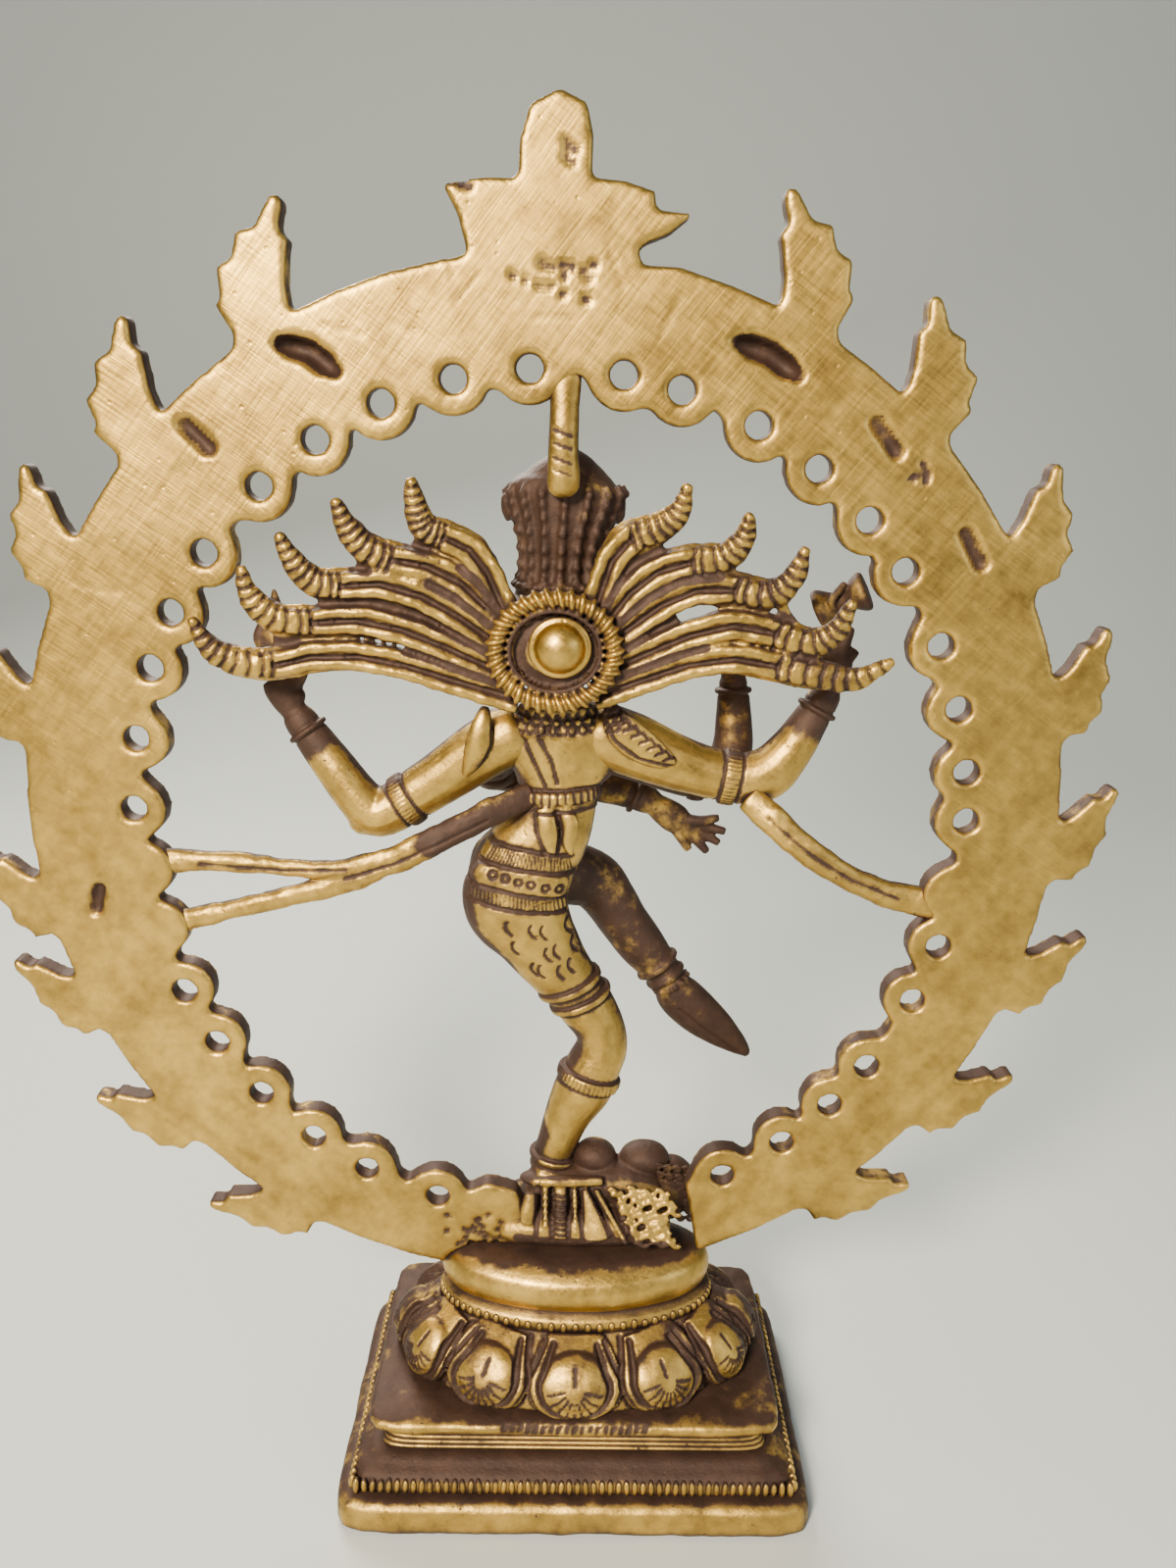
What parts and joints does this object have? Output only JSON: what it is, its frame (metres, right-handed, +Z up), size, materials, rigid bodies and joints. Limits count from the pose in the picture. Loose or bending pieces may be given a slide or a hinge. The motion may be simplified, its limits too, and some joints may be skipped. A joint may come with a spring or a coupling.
{
  "type": "brass nataraja statue",
  "caption": "Cast brass dancing figure inside a flaming pierced ring, on an oval lotus pedestal and a stepped rectangular plinth.",
  "frame": {"origin": "centre of the flat underside of the plinth", "axes": "+Z up; the dancer faces -Y, so +Y points out of the statue's back, where the ring's filed face is; +X is the dancer's left"},
  "size_m": [0.1416, 0.0414, 0.1743],
  "materials": {
    "filed_brass": "filed and hand-polished cast brass, fine scratches, warm gold",
    "cast_brass": "as-cast brass with dark patina in the recesses and rubbed high spots",
    "patina_brass": "unpolished cast brass under a dark purple-brown patina, rough"
  },
  "bodies": {
    "root": {"plinth_foot": "filed_brass", "plinth_bead_course": "cast_brass", "plinth_neck": "cast_brass", "plinth_top_slab": "filed_brass", "lotus_base": "cast_brass", "lotus_bead_band": "cast_brass", "dais": "filed_brass", "aureole_ring": "filed_brass", "dwarf_body": "cast_brass", "dwarf_head": "cast_brass", "dwarf_arm": "patina_brass", "dwarf_legs": "patina_brass", "torso": "filed_brass", "pelvis": "filed_brass", "standing_thigh": "filed_brass", "standing_calf": "filed_brass", "standing_shin": "filed_brass", "standing_foot": "cast_brass", "raised_thigh": "patina_brass", "raised_calf": "patina_brass", "raised_foot": "patina_brass", "neck": "filed_brass", "head": "patina_brass", "headdress": "patina_brass", "earring_left": "cast_brass", "earring_right": "cast_brass", "rear_left_upper_arm": "filed_brass", "rear_left_forearm": "filed_brass", "rear_left_hand": "patina_brass", "rear_right_upper_arm": "filed_brass", "rear_right_forearm": "filed_brass", "rear_right_hand": "patina_brass", "front_left_upper_arm": "patina_brass", "front_left_forearm": "patina_brass", "front_left_hand": "patina_brass", "front_right_upper_arm": "patina_brass", "front_right_forearm": "patina_brass", "front_right_hand": "patina_brass", "hand_fire": "patina_brass", "hand_drum": "patina_brass", "wheel_rim": "filed_brass", "wheel_boss": "filed_brass", "wheel_peg": "cast_brass", "hair_lock_left_1": "filed_brass", "hair_lock_left_2": "filed_brass", "hair_lock_left_3": "filed_brass", "hair_lock_left_4": "filed_brass", "hair_lock_left_5": "filed_brass", "hair_lock_right_1": "filed_brass", "hair_lock_right_2": "filed_brass", "hair_lock_right_3": "filed_brass", "hair_lock_right_4": "filed_brass", "hair_lock_right_5": "filed_brass", "tie_strut": "filed_brass", "sash_left": "cast_brass", "sash_left_tail": "cast_brass", "sash_right": "cast_brass"}
  },
  "joints": []
}
